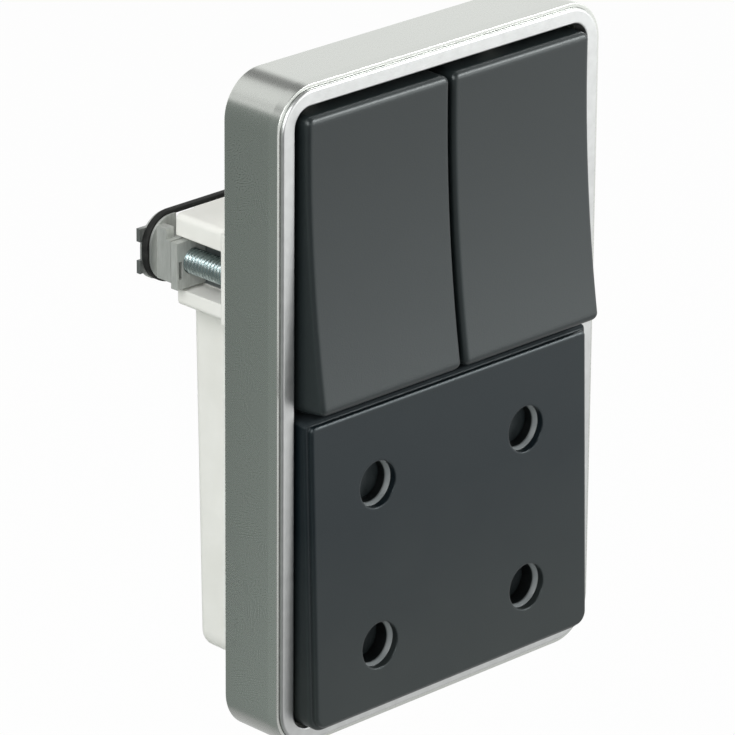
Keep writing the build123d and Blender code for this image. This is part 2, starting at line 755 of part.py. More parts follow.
# Pin guide: a grey tray over the socket block, with a collar up to each hole of the cover
with BuildPart() as pin_guide:
    with BuildSketch(at(flange_thickness)):
        block(-block_rim_half_width, block_rim_half_width, block_rim_bottom, -mid_wall)
    extrude(amount=guide_top - flange_thickness)
    with BuildSketch(at(flange_thickness)):
        block(
            -block_rim_half_width + block_rim_thickness,
            block_rim_half_width - block_rim_thickness,
            block_rim_bottom + guide_end_wall,
            -mid_wall - guide_end_wall,
        )
    extrude(amount=guide_under - flange_thickness, mode=Mode.SUBTRACT)
    with BuildSketch(at(guide_under)):
        with Locations((0, socket_z)):
            Rectangle(guide_rib, pin_spacing)
    extrude(amount=socket_block_top + shutter_gap - guide_under)
    for z in pin_z:
        collar_top = collar_seat(z) - run
        with BuildSketch(at(guide_under)):
            with Locations((-outlet_x, z), (outlet_x, z)):
                Circle(collar_outer_r)
        extrude(amount=collar_top - guide_under)
        with BuildSketch(at(collar_top)):
            with Locations((-outlet_x, z), (outlet_x, z)):
                Circle(collar_bore_r)
        extrude(amount=guide_under - collar_top, mode=Mode.SUBTRACT)
        with BuildSketch(at(collar_top)):
            with Locations((-outlet_x, z), (outlet_x, z)):
                Circle(collar_bore_r + collar_mouth)
        mouth_angle = degrees(atan2(collar_mouth, collar_mouth_depth))
        extrude(amount=-collar_mouth_depth, taper=mouth_angle, mode=Mode.SUBTRACT)
save(pin_guide, "pin_guide")

# Shutters: each closes both holes of one outlet, and its spring bears on the rib of the guide
for side, name in ((-1, "left"), (1, "right")):
    shutter_half = collar_bore_r + shutter_margin
    with BuildPart() as shutter:
        with BuildSketch(at(socket_block_top + shutter_gap)):
            with Locations((side * outlet_x, socket_z)):
                Rectangle(2 * shutter_half, pin_spacing + 2 * shutter_half)
        extrude(amount=guide_under - socket_block_top - 2 * shutter_gap)
    save(shutter, f"shutter_{name}")

    with BuildPart() as shutter_spring:
        spring_height = (socket_block_top + guide_under) / 2
        spring_length = outlet_x - shutter_half - guide_rib / 2 - spring_wire
        start = (side * (guide_rib + spring_wire) / 2, -spring_height, socket_z)
        with BuildLine():
            coil = Helix(shutter_spring_pitch, spring_length, shutter_spring_r, start, (side, 0, 0))
        with BuildSketch(Plane(coil @ 0, x_dir=(1, 0, 0), z_dir=coil % 0)):
            Rectangle(spring_wire, spring_wire)
        sweep(path=coil, is_frenet=True)
    save(shutter_spring, f"shutter_spring_{name}")

# Socket cover: a tilted front plate on a slightly wider skirt
with BuildPart() as cover_plate:
    with BuildSketch(Plane.YZ):
        with BuildLine():
            Polyline(
                (-cover_back, cover_top),
                (-frame_depth - cover_top_proud, cover_top),
                (-frame_depth - cover_bottom_proud, cover_bottom),
                (-cover_back, cover_bottom),
                close=True,
            )
        make_face()
    extrude(amount=cover_half_width, both=True)
    plate_bottom = cover_plate.edges().filter_by(Axis.Y).group_by(Axis.Z)[0]
    fillet(plate_bottom, cover_bottom_corner_r - cover_step)
    plate_top = cover_plate.edges().filter_by(Axis.Y).group_by(Axis.Z)[-1]
    fillet(plate_top, cover_top_corner_r)
    fillet(cover_plate.faces().sort_by(Axis.Y)[0].edges(), cover_edge_r)

with BuildPart() as socket_cover:
    with BuildSketch(Plane.YZ):
        with BuildLine():
            Polyline(
                (-cover_rear, cover_top + cover_step),
                (-frame_depth - cover_top_proud + cover_step_height, cover_top + cover_step),
                (-frame_depth - cover_bottom_proud + cover_step_height, cover_bottom - cover_step),
                (-cover_rear, cover_bottom - cover_step),
                close=True,
            )
        make_face()
    extrude(amount=skirt_half_width, both=True)
    fillet(socket_cover.edges().filter_by(Axis.Y).group_by(Axis.Z)[0], cover_bottom_corner_r)
    fillet(socket_cover.edges().filter_by(Axis.Y).group_by(Axis.Z)[-1], cover_top_corner_r)
    fillet(socket_cover.faces().sort_by(Axis.Y)[0].edges(), cover_edge_r)
    add(cover_plate.part)
    with BuildSketch(at(cover_rear)):
        block(
            -skirt_half_width + cover_wall,
            skirt_half_width - cover_wall,
            cover_bottom - cover_step + cover_wall,
            cover_top + cover_step - cover_wall,
        )
    extrude(amount=cover_back - cover_rear, mode=Mode.SUBTRACT)
    with BuildSketch(at(cover_back)):
        with Locations((0, socket_z)):
            with GridLocations(outlet_spacing, pin_spacing, 2, 2):
                Circle(cover_hole_r)
    extrude(amount=frame_depth, mode=Mode.SUBTRACT)
    for z in pin_z:
        with BuildSketch(at(cover_rear)):
            with Locations((-outlet_x, z), (outlet_x, z)):
                Circle(collar_outer_r + fit)
        extrude(amount=collar_seat(z) - cover_rear, mode=Mode.SUBTRACT)
save(socket_cover, "socket_cover")
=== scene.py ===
import json
from math import cos, pi, radians, sin, tau

import bmesh
import bpy
import numpy as np
from mathutils import Matrix, Vector


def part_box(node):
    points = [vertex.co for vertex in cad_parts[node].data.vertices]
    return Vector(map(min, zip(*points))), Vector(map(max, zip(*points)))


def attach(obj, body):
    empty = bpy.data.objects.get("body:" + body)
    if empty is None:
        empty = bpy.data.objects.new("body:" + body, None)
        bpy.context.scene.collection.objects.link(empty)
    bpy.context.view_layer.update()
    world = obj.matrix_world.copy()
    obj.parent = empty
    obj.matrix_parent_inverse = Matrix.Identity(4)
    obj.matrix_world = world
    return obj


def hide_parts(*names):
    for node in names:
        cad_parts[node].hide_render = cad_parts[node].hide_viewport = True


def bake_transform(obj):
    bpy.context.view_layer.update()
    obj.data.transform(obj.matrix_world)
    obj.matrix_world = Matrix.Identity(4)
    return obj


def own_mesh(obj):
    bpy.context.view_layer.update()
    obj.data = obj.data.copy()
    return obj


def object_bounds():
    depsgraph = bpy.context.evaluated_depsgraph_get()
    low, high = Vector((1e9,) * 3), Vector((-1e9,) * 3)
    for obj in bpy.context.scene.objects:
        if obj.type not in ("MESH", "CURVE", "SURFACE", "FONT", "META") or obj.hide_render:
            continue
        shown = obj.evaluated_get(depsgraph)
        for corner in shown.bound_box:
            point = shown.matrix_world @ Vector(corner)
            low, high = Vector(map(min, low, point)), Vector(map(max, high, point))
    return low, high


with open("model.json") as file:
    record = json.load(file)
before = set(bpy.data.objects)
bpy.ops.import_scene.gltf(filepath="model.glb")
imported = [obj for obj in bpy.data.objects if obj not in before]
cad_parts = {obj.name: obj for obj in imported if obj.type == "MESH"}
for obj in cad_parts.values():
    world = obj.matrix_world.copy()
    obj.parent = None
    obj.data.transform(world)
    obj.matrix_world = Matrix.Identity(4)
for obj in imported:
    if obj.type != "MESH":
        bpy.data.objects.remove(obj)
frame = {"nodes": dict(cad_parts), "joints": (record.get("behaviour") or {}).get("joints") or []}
cad_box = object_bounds()
nodes = frame["nodes"]
mm = 0.001


# Base housing: one matt white thermoplastic moulding. Its flange lies behind the frame, its box goes
# into the wall, and a tower with an open bay stands on each side for a claw screw.
class Tone:
    """A socket of a node tree. Arithmetic between tones, or with numbers, adds Math nodes."""

    def __init__(self, socket):
        self.socket = socket

    def node(self, kind, settings, values, output=0):
        """Add a node: its settings first, then the values or links of its sockets."""
        tree = self.socket.id_data
        new = tree.nodes.new("ShaderNode" + kind)
        for name, value in settings.items():
            setattr(new, name, value)
        for key, value in values.items():
            if isinstance(value, Tone):
                tree.links.new(value.socket, new.inputs[key])
            else:
                new.inputs[key].default_value = value
        return Tone(new.outputs[output])

    def maths(self, operation, first, second=0.0):
        return self.node("Math", {"operation": operation}, {0: first, 1: second})

    def __add__(self, other):
        return self.maths("ADD", self, other)

    def __sub__(self, other):
        return self.maths("SUBTRACT", self, other)

    def __rsub__(self, other):
        return self.maths("SUBTRACT", other, self)

    def __mul__(self, other):
        return self.maths("MULTIPLY", self, other)

    __radd__ = __add__
    __rmul__ = __mul__

    def axis(self, index):
        """One part of these coordinates: 0 for x, 1 for y and 2 for z."""
        return self.node("SeparateXYZ", {}, {0: self}, output=index)

    def noise(self, size, detail=2.0, roughness=0.5):
        """Noise over these coordinates, with blots of about this size in millimetres."""
        values = {"Vector": self, "Scale": 1 / (size * mm), "Detail": detail, "Roughness": roughness}
        return self.node("TexNoise", {}, values)

    def stretched(self, x, y, z):
        """These coordinates with each direction scaled."""
        return self.node("Mapping", {"vector_type": "POINT"}, {"Vector": self, "Scale": (x, y, z)})

    def between(self, low, high):
        """This tone's share of the way from low to high, held within 0 and 1."""
        return self.node("MapRange", {"clamp": True}, {"Value": self, "From Min": low, "From Max": high})

    def reach(self, start, end):
        """The same share for a distance, from start to end in millimetres."""
        return self.between(start * mm, end * mm)

    def about(self, middle, spread):
        """This noise as a value that strays from the middle by half the spread."""
        return self * spread + (middle - spread / 2)

    def mix(self, low, high):
        """The colour low where this tone is 0 and high where it is 1."""
        settings = {"data_type": "RGBA", "clamp_factor": True}
        return self.node("Mix", settings, {0: self, 6: low, 7: high}, output=2)

    def bumped(self, height, depth, edge):
        """A surface normal raised by height, this deep in millimetres, over edges rounded by this radius."""
        rounded = self.node("Bevel", {"samples": 6}, {"Radius": edge * mm})
        values = {"Strength": 1.0, "Distance": depth * mm, "Height": height, "Normal": rounded}
        return self.node("Bump", {}, values)


def paint(red, green, blue):
    """A colour as it looks on a screen, from 0 to 255, as the linear colour that a shader takes."""
    screen = np.array([red, green, blue]) / 255
    linear = np.where(screen <= 0.04045, screen / 12.92, ((screen + 0.055) / 1.055) ** 2.4)
    return (*linear.tolist(), 1.0)


def finish(name, **constants):
    """A new material with these constants on its shader, the shader, and its Object coordinates."""
    material = bpy.data.materials.new(name)
    material.use_nodes = True
    tree = material.node_tree
    shader = tree.nodes["Principled BSDF"]
    for key, value in constants.items():
        shader.inputs[key.replace("_", " ")].default_value = value
    return material, shader, Tone(tree.nodes.new("ShaderNodeTexCoord").outputs["Object"])


def feed(shader, **tones):
    """Link each tone to the shader's socket of that name."""
    for key, tone in tones.items():
        shader.id_data.links.new(tone.socket, shader.inputs[key.replace("_", " ")])


def dress(material, *names):
    """Give solids of the frame this material in place of their own."""
    for name in names:
        mesh = nodes[name].data
        mesh.materials.clear()
        mesh.materials.append(material)


def unpatched(place, colour):
    """The colour as it is, for a finish without a patch."""
    return colour


def moulding(name, light, dark, roughness, edge, patch=unpatched):
    """A matt moulded plastic: faint clouds in its colour, a patch of painted shade in places where one is
    given, and the fine grain of its mould."""
    material, shader, place = finish(name, Roughness=roughness)
    clouds = place.noise(6.0, detail=3.0)
    grain = place.noise(0.22)
    feed(
        shader,
        Base_Color=patch(place, clouds.between(0.3, 0.7).mix(light, dark)),
        Roughness=grain.about(roughness, 0.12),
        Normal=place.bumped(grain, 0.012, edge),
    )
    return material


screw_head_over_box = 0.5
bay_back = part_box("claw_screw_right")[0].x / mm + screw_head_over_box
bay_sill = 10.4
bay_arm = 16.4
bay_blur = 0.1


def painted_bay_shade(place, colour):
    """The colour, with painted shade on the back wall of each bay: a product of four soft steps, two
    over the distance from the middle, close about the wall, and two over the height, at sill and arm."""
    across = place.axis(0).maths("ABSOLUTE", place.axis(0))
    height = place.axis(2)
    on_wall = across.reach(bay_back - 2.5 * bay_blur, bay_back - bay_blur)
    on_wall *= across.reach(bay_back + 3 * bay_blur, bay_back + bay_blur)
    above_sill = height.reach(bay_sill - bay_blur, bay_sill + bay_blur)
    under_arm = height.reach(bay_arm + bay_blur, bay_arm - bay_blur)
    return (on_wall * above_sill * under_arm).mix(colour, paint(86, 92, 92))


# The white moulding carries painted shade: the back wall of each bay is darkened.
white_moulding = moulding(
    "white_moulding", paint(240, 240, 235), paint(232, 232, 226), 0.5, 0.2, patch=painted_bay_shade
)
dress(white_moulding, "base_housing")

# Inserts: the switch block in the upper well and the socket block in the lower one, light grey mouldings
# that carry the switches, the pin clips and the wire terminals.
insert_moulding = moulding("insert_moulding", paint(206, 207, 202), paint(196, 197, 192), 0.52, 0.12)
dress(insert_moulding, "switch_block", "socket_block")


# Contact metal: stamped brass bars and levers, bright steel cages and leaf springs. All of it lies inside
# the inserts.
def stamped(name, light, dark, roughness, along, metallic=1.0, patch=unpatched):
    """A rolled and stamped sheet: streaks along the rolling direction, in colour and in gloss, and a patch
    of painted shade in places where one is given."""
    material, shader, place = finish(name, Metallic=metallic)
    streaks = place.stretched(*along).noise(0.5, detail=4.0, roughness=0.6)
    feed(
        shader,
        Base_Color=patch(place, streaks.between(0.3, 0.7).mix(light, dark)),
        Roughness=streaks.about(roughness, 0.2),
        Normal=place.bumped(streaks, 0.008, 0.08),
    )
    return material


contact_brass = stamped("contact_brass", paint(222, 190, 122), paint(196, 160, 92), 0.32, (0.15, 1.0, 1.0))
spring_steel = stamped("spring_steel", paint(186, 188, 188), paint(160, 162, 163), 0.3, (0.3, 1.0, 1.0))
dress(contact_brass, "common_bar", "line_bar", "neutral_bar", "switch_contact_left", "switch_contact_right")
dress(contact_brass, "contact_lever_left", "contact_lever_right")
dress(spring_steel, "terminal_cages", "terminal_springs")

# Claw screws: zinc plated machine screws with a slotted head, one in each tower. The head bears on the
# flange, and the whole shank is threaded.
sides = ((-1, "left"), (1, "right"))
screw_r = 1.45
screw_tip = 0.35
thread_pitch = 0.5
thread_depth = 0.26
thread_flank = 1.5
thread_root = 0.2
screw_head_height = 0.9
screw_head_round = 0.2
screw_slot_width = 0.7
screw_slot_depth = 0.45
merge_distance = 0.002
sharp_angle = radians(38)


def cleaned(mesh):
    """Merge points that meet, turn every face outwards, and shade smooth except across sharp edges."""
    work = bmesh.new()
    work.from_mesh(mesh)
    bmesh.ops.remove_doubles(work, verts=work.verts, dist=merge_distance * mm)
    bmesh.ops.dissolve_degenerate(work, edges=work.edges, dist=merge_distance * mm)
    bmesh.ops.recalc_face_normals(work, faces=work.faces)
    work.to_mesh(mesh)
    work.free()
    mesh.polygons.foreach_set("use_smooth", np.ones(len(mesh.polygons), bool))
    mesh.set_sharp_from_angle(angle=sharp_angle)


def skin(name, points, material, tube=False):
    """A mesh through points in rows, in millimetres: each row is a closed ring, and the rows follow each
    other. With tube, the last row meets the first; otherwise the two end rows are closed by a face."""
    rows, columns = points.shape[:2]
    row, column = np.meshgrid(np.arange(rows if tube else rows - 1), np.arange(columns), indexing="ij")
    after_row, after_column = (row + 1) % rows, (column + 1) % columns
    corners = [(row, column), (row, after_column), (after_row, after_column), (after_row, column)]
    quads = np.stack([r * columns + c for r, c in corners], -1).reshape(-1, 4).tolist()
    if not tube:
        last = (rows - 1) * columns
        quads += [list(range(columns))[::-1], list(range(last, last + columns))]
    mesh = bpy.data.meshes.new(name)
    mesh.from_pydata((points.reshape(-1, 3) * mm).tolist(), [], quads)
    cleaned(mesh)
    mesh.materials.append(material)
    piece = bpy.data.objects.new(name, mesh)
    bpy.context.scene.collection.objects.link(piece)
    return piece


def threaded(length, around=48, per_turn=14):
    """A threaded shank from depth 0 to length: at each place the radius falls from the crest to the root
    and back once in a pitch, and a turn round the shank shifts the pattern by one pitch. The tip is
    tapered."""
    depth = np.linspace(0, length, int(length / thread_pitch * per_turn))[:, None]
    angle = np.linspace(0, tau, around, endpoint=False)[None, :]
    phase = (depth / thread_pitch - angle / tau) % 1
    ridge = np.clip(thread_flank * (1 - np.abs(2 * phase - 1)) - thread_root, 0, 1)
    taper = np.clip((length - depth) / screw_tip, 0, 1)
    radius = screw_r - thread_depth + thread_depth * ridge * taper
    return np.stack([radius * np.cos(angle), depth + 0 * angle, radius * np.sin(angle)], -1)


def slotted_head(radius, sections=18, around=10):
    """A flat slotted head: sections across the slot, each a box as long as the disc is wide there, with
    its two front corners rounded. The sections on the slot's two walls change height."""
    half_slot = screw_slot_width / 2
    outer = radius * np.sin(np.linspace(pi / 2, np.arcsin(half_slot / radius), sections))
    across = np.concatenate([-outer, [-half_slot, half_slot], outer[::-1]])
    top = np.full(len(across), screw_head_height)
    top[len(outer):len(outer) + 2] = screw_head_height - screw_slot_depth
    half = np.sqrt(np.maximum(radius**2 - across**2, 1e-6))
    bend = np.linspace(0, pi / 2, around)
    round_r = np.minimum(screw_head_round, half * 0.9)[:, None]
    corner_z = half[:, None] - round_r + round_r * np.cos(bend)
    corner_y = top[:, None] - round_r + round_r * np.sin(bend)
    foot = np.zeros((len(across), 1))
    z = np.concatenate([half[:, None], corner_z, -corner_z[:, ::-1], -half[:, None]], 1)
    y = np.concatenate([foot, corner_y, corner_y[:, ::-1], foot], 1)
    return np.stack([across[:, None] + 0 * z, -y, z], -1)


zinc_plate, zinc_shader, zinc_place = finish("zinc_plate", Metallic=1.0)
zinc_bloom = zinc_place.noise(0.8, detail=4.0)
feed(
    zinc_shader,
    Base_Color=zinc_bloom.between(0.35, 0.7).mix(paint(206, 218, 218), paint(176, 190, 192)),
    Roughness=zinc_bloom.about(0.24, 0.16),
    Normal=zinc_place.bumped(zinc_bloom, 0.006, 0.04),
)
for side, name in sides:
    low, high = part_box(f"claw_screw_{name}")
    middle = (low + high) / 2 / mm
    head_y = low.y / mm + screw_head_height
    shank = threaded(high.y / mm - head_y) + (middle.x, head_y, middle.z)
    head = slotted_head((high.x - low.x) / 2 / mm) + (middle.x, head_y, middle.z)
    shank_piece = skin(f"claw_screw_shank_{name}", shank, zinc_plate)
    head_piece = skin(f"claw_screw_head_{name}", head, zinc_plate)
    for piece in (shank_piece, head_piece):
        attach(piece, f"{name}_claw_screw")
    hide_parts(f"claw_screw_{name}")

# Nut plates and claws: pressed steel. Each nut plate runs on its screw and pushes the saddle of a claw,
# whose toothed plate then bites into the wall box. Painted shade darkens the teeth towards their tips.
tooth_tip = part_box("claw_right")[1].x / mm
tooth_length = 1.5


def painted_teeth_shade(place, colour):
    """The colour, with painted shade that darkens over the length of the teeth to their tips."""
    across = place.axis(0).maths("ABSOLUTE", place.axis(0))
    return across.reach(tooth_tip - tooth_length, tooth_tip).mix(colour, paint(104, 108, 106))


claw_sheet = {
    "light": paint(200, 203, 199),
    "dark": paint(178, 181, 176),
    "roughness": 0.5,
    "along": (1.0, 1.0, 0.2),
    "metallic": 0.4,
}
claw_steel = stamped("claw_steel", **claw_sheet)
# The toothed claws carry painted shade that darkens their teeth.
toothed_steel = stamped("toothed_steel", **claw_sheet, patch=painted_teeth_shade)
dress(claw_steel, "claw_nut_left", "claw_nut_right")
dress(toothed_steel, "claw_left", "claw_right")

# Rubber band: a black loop round both claws that draws them back in. It is made as two halves, one for
# each side.
band_thickness = 0.55
band_round = 0.16
band_corner_r = 3.425


def ring_angles(steps):
    """The outward angle at each point of a rounded rectangle: a quarter turn at each of four corners."""
    turn = np.linspace(0, pi / 2, steps)
    return np.concatenate([turn + k * pi / 2 for k in range(4)])


def oblong(half_x, half_z, radius, steps=16):
    """A rounded rectangle as a ring from its right side: four quarter circles joined by straights."""
    angle = ring_angles(steps)
    sign_x = np.repeat([1, -1, -1, 1], steps)
    sign_z = np.repeat([1, 1, -1, -1], steps)
    x = sign_x * (half_x - radius) + radius * np.cos(angle)
    z = sign_z * (half_z - radius) + radius * np.sin(angle)
    return x, z


def half_band(side, low, high, steps=24, along=60):
    """Half a band loop: a rounded box section carried along a path that runs in from the middle, round the
    two corners over the claw, and back to the middle. Each section turns with the path."""
    middle_z = (low.z + high.z) / 2 / mm
    half_z = (high.z - low.z - band_thickness * mm) / 2 / mm
    half_x = high.x / mm - band_thickness / 2
    run = np.linspace(0, half_x - band_corner_r, along)
    turn = np.linspace(pi / 2, 0, steps)
    corner_x = half_x - band_corner_r + band_corner_r * np.cos(turn)
    corner_z = half_z - band_corner_r + band_corner_r * np.sin(turn)
    upper_x = np.concatenate([run[:-1], corner_x])
    upper_z = np.concatenate([np.full(along - 1, half_z), corner_z])
    out_x = np.concatenate([np.zeros(along - 1), np.cos(turn)])
    out_z = np.concatenate([np.ones(along - 1), np.sin(turn)])
    path_x = np.concatenate([upper_x, upper_x[::-1]])
    path_z = np.concatenate([upper_z, -upper_z[::-1]])
    normal_x = np.concatenate([out_x, out_x[::-1]])
    normal_z = np.concatenate([out_z, -out_z[::-1]])
    width = (high.y - low.y) / mm
    across, deep = oblong(band_thickness / 2, width / 2, band_round, steps=5)
    x = side * (path_x[:, None] + normal_x[:, None] * across)
    z = middle_z + path_z[:, None] + normal_z[:, None] * across
    y = (low.y + high.y) / 2 / mm + deep + 0 * x
    return np.stack([x, y, z], -1)


band_rubber, rubber_shader, rubber_place = finish("band_rubber", Roughness=0.55, Specular_IOR_Level=0.3)
rubber_dust = rubber_place.noise(0.9, detail=4.0)
feed(
    rubber_shader,
    Base_Color=rubber_dust.between(0.4, 0.75).mix(paint(24, 25, 24), paint(44, 45, 43)),
    Roughness=rubber_dust.about(0.65, 0.3),
    Normal=rubber_place.bumped(rubber_place.noise(0.15), 0.01, 0.05),
)
band_low, band_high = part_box("rubber_band")
for side, name in sides:
    half = skin(f"rubber_band_{name}", half_band(side, band_low, band_high), band_rubber)
    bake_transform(half)
    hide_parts("rubber_band")

# Pin guide and shutters: a grey tray with a collar up to each hole of the cover, light at its mouth, with
# painted shade in its bore. Behind the collars lie two spring-loaded shutters, one for each outlet.
collar_front = 9.45
collar_slant = 1.05 / 35.6
bore_shade_fade = (0.5, 0.75)
guide_moulding, guide_shader, guide_place = finish("guide_moulding", Roughness=0.35)
# Painted shade: the colour goes dark from just behind the mouth of each collar down its bore.
below_front = (guide_place.axis(1) - guide_place.axis(2) * collar_slant) * (1 / mm) + collar_front
feed(
    guide_shader,
    Base_Color=below_front.between(*bore_shade_fade).mix(paint(140, 146, 147), paint(16, 19, 20)),
    Normal=guide_place.bumped(guide_place.noise(0.22), 0.006, 0.1),
)
shutter_moulding = moulding("shutter_moulding", paint(58, 66, 68), paint(50, 58, 60), 0.4, 0.1)
dress(guide_moulding, "pin_guide")
dress(shutter_moulding, "shutter_left", "shutter_right")
wire_r = 0.12
shutter_coil_r = 0.4
shutter_coil_turns = 6.5


def coil(start, axis, length, coil_r, turns, around=10, per_turn=28):
    """A round wire wound on a cylinder along an axis: its centre circles the axis while it climbs, slowly
    in the closed turn at each end, and the section is a circle square to the wire."""
    axis = np.array(axis) / np.linalg.norm(axis)
    first = np.cross(axis, (0.0, 0.0, 1.0))
    first /= np.linalg.norm(first)
    second = np.cross(axis, first)
    share = np.linspace(0, 1, int(turns * per_turn))
    ends = np.minimum(1, np.minimum(share, 1 - share) * turns)
    climb = np.concatenate([[0], np.cumsum((0.25 + ends)[1:])])
    rise = wire_r + (length - 2 * wire_r) * climb / climb[-1]
    angle = share * turns * tau
    outward = np.cos(angle)[:, None] * first + np.sin(angle)[:, None] * second
    centre = np.array(start) + rise[:, None] * axis + coil_r * outward
    along = np.gradient(centre, axis=0)
    along /= np.linalg.norm(along, axis=1)[:, None]
    beside = np.cross(along, outward)
    wind = np.linspace(0, tau, around, endpoint=False)
    ring = np.cos(wind)[:, None] * outward[:, None] + np.sin(wind)[:, None] * beside[:, None]
    return centre[:, None] + wire_r * ring


for side, name in sides:
    low, high = (np.array(corner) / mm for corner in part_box(f"shutter_spring_{name}"))
    inner, outer = (low[0], high[0]) if side > 0 else (high[0], low[0])
    start = (inner, (low[1] + high[1]) / 2, (low[2] + high[2]) / 2)
    wire = coil(start, (side, 0, 0), abs(outer - inner), shutter_coil_r, shutter_coil_turns)
    spring = skin(f"shutter_coil_{name}", wire, spring_steel)
    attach(spring, "base")
    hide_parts(f"shutter_spring_{name}")
    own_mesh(spring)

# Switch movements: under each rocker a toggle on two lugs, with a spring plunger in its stem that tips the
# contact seesaw.
joints = {joint["name"]: joint for joint in frame["joints"]}
toggle_moulding = moulding("toggle_moulding", paint(72, 76, 78), paint(64, 68, 70), 0.45, 0.1)
grey_moulding = moulding("grey_moulding", paint(132, 138, 137), paint(120, 127, 126), 0.42, 0.08)
dress(toggle_moulding, "toggle_left", "toggle_right")
dress(grey_moulding, "plunger_left", "plunger_right")
plunger_coil_r = 0.7
plunger_coil_turns = 3.75
plunger_coil_low = -2.4
plunger_coil_high = 1.2
for side, name in sides:
    axis = np.array(joints[f"{name}_plunger_slide"]["axis"])
    pivot = np.array(joints[f"{name}_rocker_tilt"]["pos_m"]) / mm
    pivot[0] = (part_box(f"plunger_{name}")[0].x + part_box(f"plunger_{name}")[1].x) / 2 / mm
    length = plunger_coil_high - plunger_coil_low
    wire = coil(pivot + plunger_coil_low * axis, axis, length, plunger_coil_r, plunger_coil_turns)
    spring = skin(f"plunger_coil_{name}", wire, spring_steel)
    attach(spring, f"{name}_switch")
    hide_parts(f"plunger_spring_{name}")
    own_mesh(spring)

# Rockers and socket cover: anthracite mouldings with a silk matt front. The rockers are hollow caps with a
# dished front, whose upper and lower edges are rounded more than its sides.
rocker_proud = 0.3
rocker_wider = 0.05
rocker_length = 33.4
rocker_flare = 0.4
rocker_dish_r = 191.0
rocker_height = 5.18
rocker_front = rocker_height + rocker_proud
rocker_roof = 3.88
rocker_rear = 1.2
rocker_wall = 1.3
rocker_corner_r = 0.9
rocker_edge_r = 0.6
rocker_end_edge_r = 0.85
rocker_tilt = radians(4.3)
rocker_ring_step = 1.2


def fine_ring(half_x, half_z, radius, step, steps=8):
    """A rounded rectangle with points along its straights, none further apart than step, and the outward
    direction at each point."""
    x, z = oblong(half_x, half_z, radius, steps)
    angle = ring_angles(steps)
    ring = np.column_stack([x, z, np.cos(angle), np.sin(angle)])
    gaps = np.roll(ring, -1, 0) - ring
    counts = np.maximum(1, np.ceil(np.hypot(gaps[:, 0], gaps[:, 1]) / step)).astype(int)
    shares = [np.linspace(0, 1, count, endpoint=False)[:, None] for count in counts]
    return np.concatenate([point + share * gap for point, share, gap in zip(ring, shares, gaps)])


def rocker_cap(half_x):
    """A hollow rocker, as rings from the middle of its roof inside, down the inner walls, up the outer
    walls, which lean in, over the rounded edge and across the front to the middle. The front is a hollow
    cylinder, and the edge is a quarter circle that is larger at the two ends."""
    ring = fine_ring(half_x, rocker_length / 2, rocker_corner_r, rocker_ring_step)
    place, outward = ring[:, :2], ring[:, 2:]
    inside = place * (1 - rocker_wall / np.array([half_x, rocker_length / 2]))
    skirt = place + outward * (0, rocker_flare)
    edge = rocker_edge_r + (rocker_end_edge_r - rocker_edge_r) * outward[:, 1:] ** 2

    def dished(at):
        along = at[:, 1:]
        return rocker_front + rocker_dish_r - np.sqrt(rocker_dish_r**2 - along**2)

    rows = [(inside * share, rocker_roof) for share in (0.02, 0.5, 1.0)]
    rows += [(inside, rocker_rear), (skirt, rocker_rear)]
    for bend in np.linspace(0, pi / 2, 9):
        at = place - outward * edge * (1 - cos(bend))
        rows.append((at, dished(at) - edge * (1 - sin(bend))))
    flat = place - outward * edge
    rows += [(flat * share, dished(flat * share)) for share in np.linspace(0.98, 0.02, 18)]
    return np.array([np.column_stack([at, 0 * at[:, :1] + height]) for at, height in rows])


def anthracite(name, upper, lower, span, roughness, edge, tint, shine, matt_above=99.0):
    """A dark moulded plastic: a painted sheen shifts its colour over a span of heights, and it changes in
    faint clouds, with a fine grain and softened edges. Its shine has a tint, and above one height, if it
    goes up so far, it is matt."""
    material, shader, place = finish(
        name, Roughness=roughness, Specular_Tint=tint, Specular_IOR_Level=shine
    )
    grain = place.noise(0.16)
    height = place.axis(2)
    clouds = (place.noise(9.0, detail=3.0) - 0.5) * 0.5
    matt = height.reach(matt_above, matt_above + 0.1)
    feed(
        shader,
        Base_Color=(height.reach(*span) + clouds).mix(upper, lower),
        Roughness=grain.about(roughness, 0.16) + matt * 0.5,
        Normal=place.bumped(grain, 0.01, edge),
    )
    return material


# Rockers and cover carry a painted sheen: their colour is lighter lower down.
rocker_moulding = anthracite(
    "rocker_moulding",
    upper=paint(25, 31, 32),
    lower=paint(30, 36, 37),
    span=(30, 5),
    roughness=0.35,
    edge=0.05,
    tint=(0.93, 1, 1, 1),
    shine=0.55,
)
cover_moulding = anthracite(
    "cover_moulding",
    upper=paint(14, 22, 26),
    lower=paint(40, 44, 43),
    span=(-12, -36),
    roughness=0.32,
    edge=0.3,
    tint=(0.86, 0.97, 1, 1),
    shine=0.5,
    matt_above=0.2,
)
dress(cover_moulding, "socket_cover")
for side, name in sides:
    low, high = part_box(f"rocker_{name}")
    middle_x = (low.x + high.x) / 2 / mm + side * rocker_wider
    pivot = np.array(joints[f"{name}_rocker_tilt"]["pos_m"]) / mm
    cap = rocker_cap((high.x - low.x) / 2 / mm + rocker_wider)
    across, along, out = cap[..., 0], cap[..., 1], cap[..., 2]
    y = pivot[1] + along * sin(rocker_tilt) - out * cos(rocker_tilt)
    z = pivot[2] + along * cos(rocker_tilt) + out * sin(rocker_tilt)
    points = np.stack([middle_x + across, y, z], -1)
    rocker = skin(f"rocker_cap_{name}", points, rocker_moulding)
    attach(rocker, f"{name}_switch")
    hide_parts(f"rocker_{name}")

